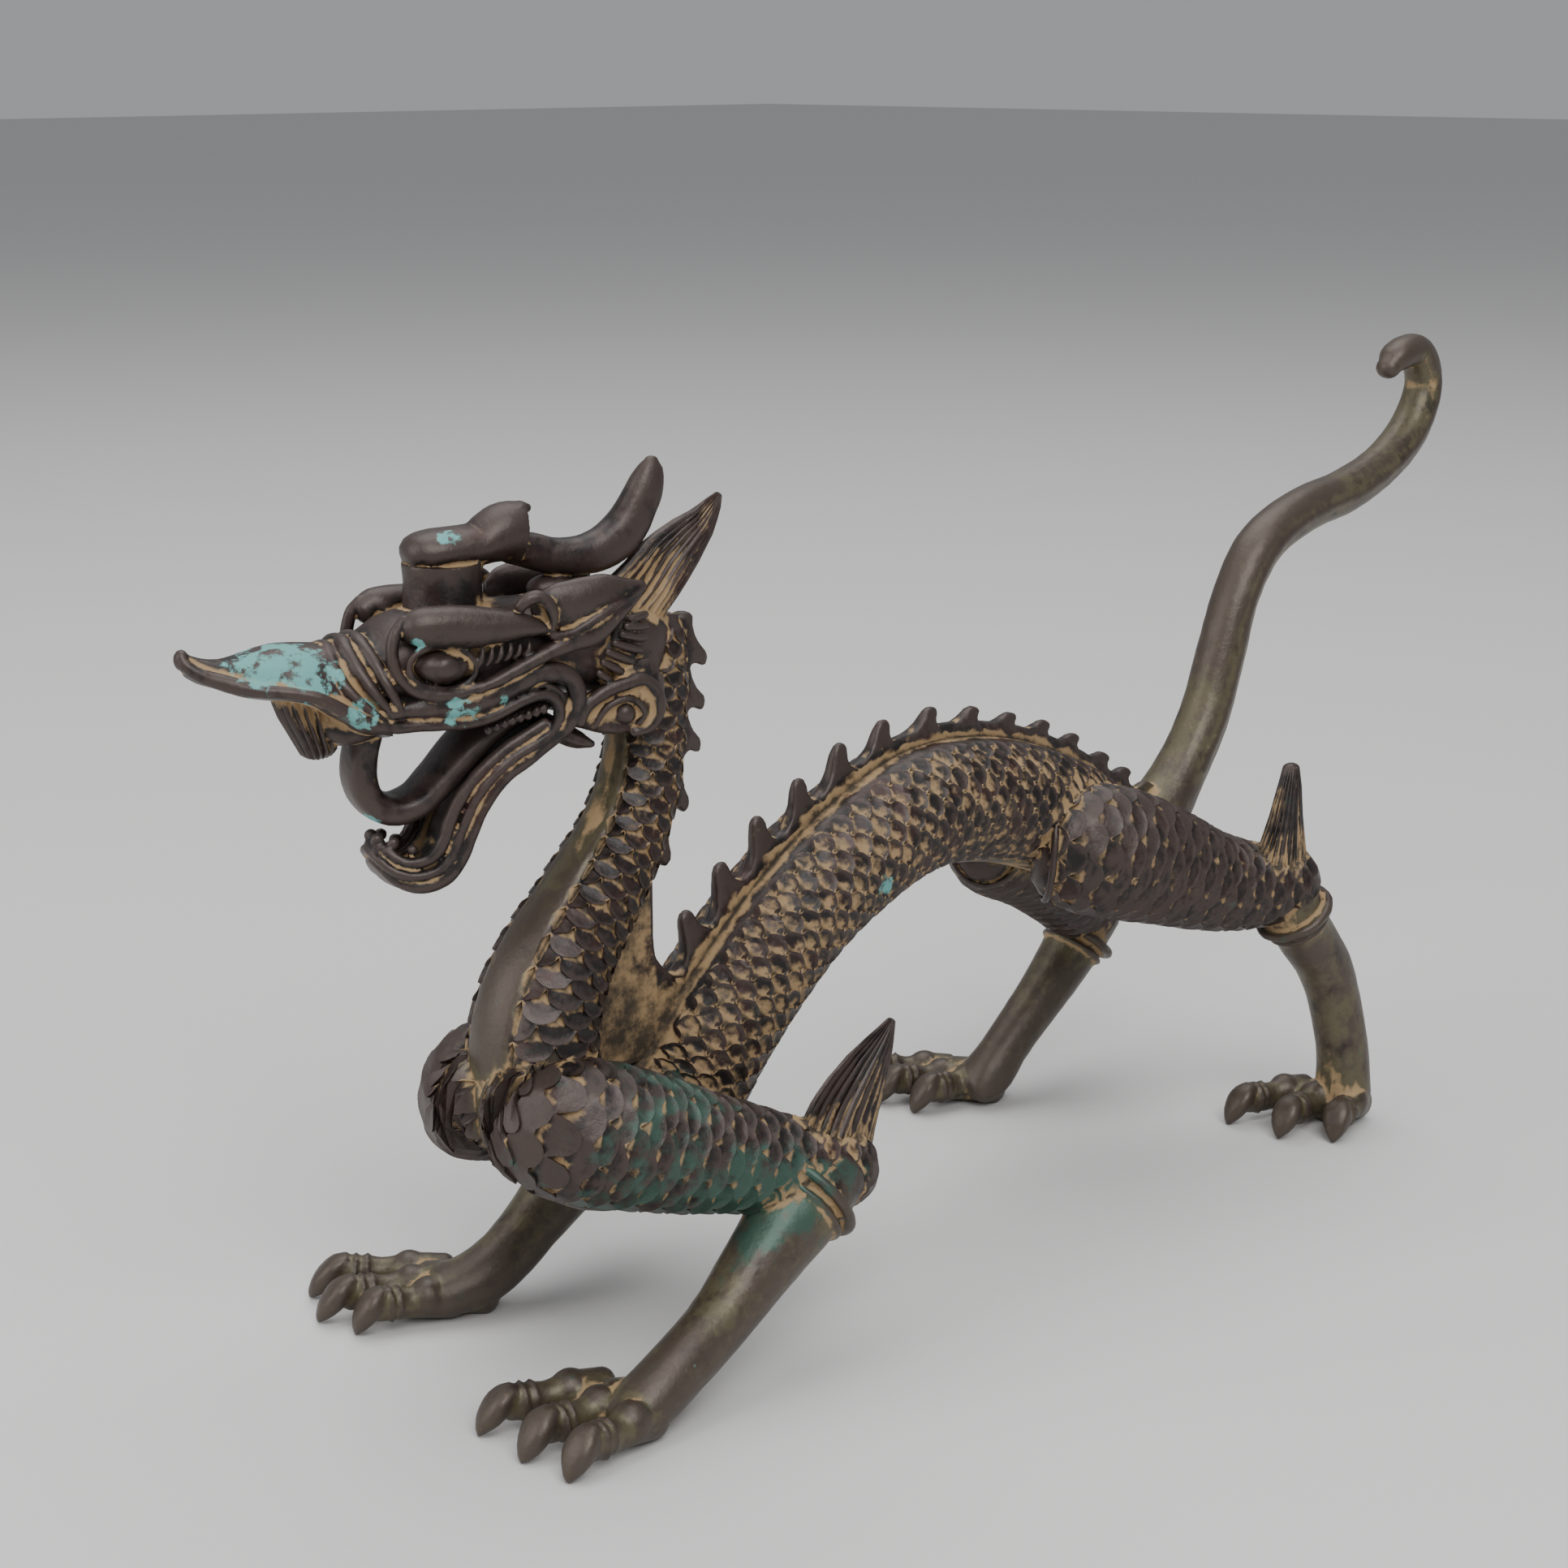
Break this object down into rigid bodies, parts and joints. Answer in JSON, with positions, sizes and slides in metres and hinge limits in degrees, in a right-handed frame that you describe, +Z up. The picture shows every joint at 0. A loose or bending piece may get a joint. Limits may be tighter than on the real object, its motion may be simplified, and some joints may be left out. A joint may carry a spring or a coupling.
{
  "type": "dragon sculpture",
  "caption": "Cast bronze walking dragon with scaled neck and body, toothed crest, open jaws, curled horn, finned elbows and a raised tail.",
  "frame": {"origin": "on the ground under the middle of the bounding box", "axes": "the dragon walks towards -X, its left side faces -Y, +Z up"},
  "size_m": [0.2484, 0.074, 0.1243],
  "materials": {
    "bronze": "aged bronze with brown, ochre and green patina"
  },
  "bodies": {
    "root": {"dragon": "bronze"}
  },
  "joints": []
}
